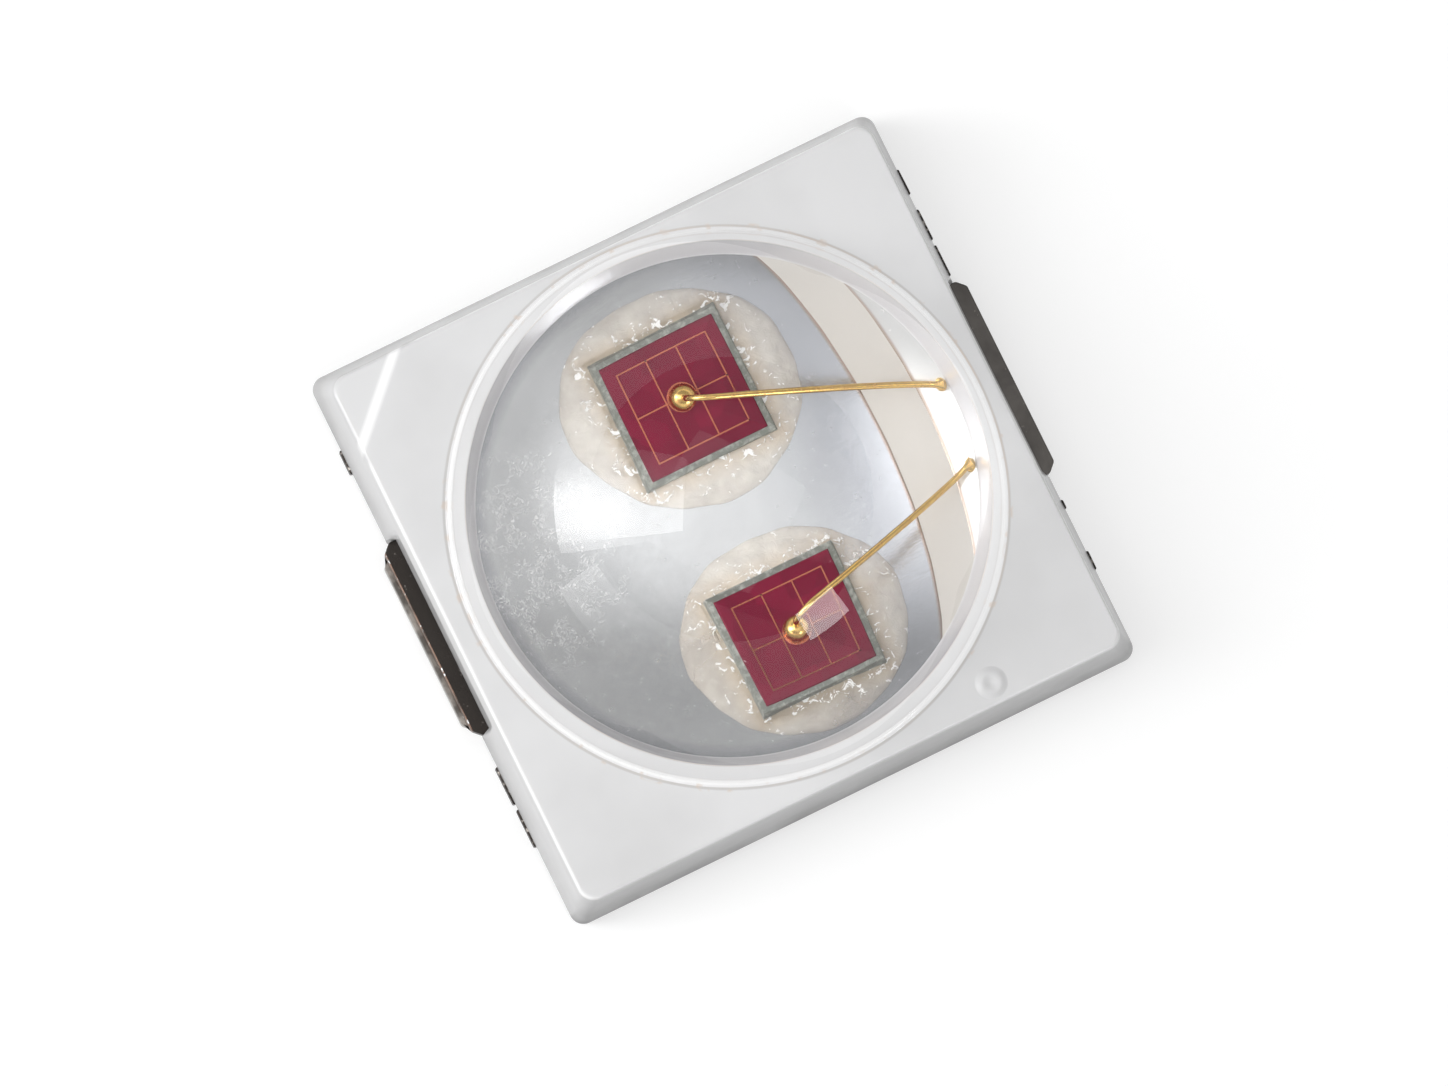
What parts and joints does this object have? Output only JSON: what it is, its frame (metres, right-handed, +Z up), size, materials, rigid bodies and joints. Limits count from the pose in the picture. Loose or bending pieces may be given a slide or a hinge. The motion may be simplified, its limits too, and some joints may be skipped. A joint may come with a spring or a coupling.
{
  "type": "surface-mount led",
  "caption": "Square white surface-mount LED with a clear dome lens over red chips that are wire-bonded to a silver lead frame.",
  "frame": {"origin": "centre of the underside, in the plane of the solder faces", "axes": "+X towards the anode tab, +Y towards the side of the upper chip, +Z up through the lens"},
  "size_m": [0.0036, 0.0034, 0.0019],
  "materials": {
    "white_moulding": "glossy white moulding compound",
    "plated_lead": "satin silver plating, dark at the cut tabs",
    "cut_metal": "dark sheared metal",
    "die_adhesive": "cream, see-through, wrinkled",
    "carrier_die": "grey-green mottled metal",
    "red_layer": "polished raspberry red",
    "gold": "bright gold",
    "clear_silicone": "clear and glossy"
  },
  "bodies": {
    "root": {"housing": "white_moulding", "cathode_lead": "plated_lead", "anode_lead": "plated_lead", "tie_bar_front_left": "cut_metal", "tie_bar_back_left": "cut_metal", "tie_bar_front_right": "cut_metal", "tie_bar_back_right": "cut_metal", "tie_bar_corner": "cut_metal", "tie_bar_nub": "cut_metal", "upper_die_attach": "die_adhesive", "lower_die_attach": "die_adhesive", "upper_chip_carrier": "carrier_die", "lower_chip_carrier": "carrier_die", "upper_emitter": "red_layer", "lower_emitter": "red_layer", "upper_contact_grid": "gold", "lower_contact_grid": "gold", "upper_bond_wire": "gold", "lower_bond_wire": "gold", "upper_stitch_bump": "gold", "lower_stitch_bump": "gold", "lens": "clear_silicone"}
  },
  "joints": []
}
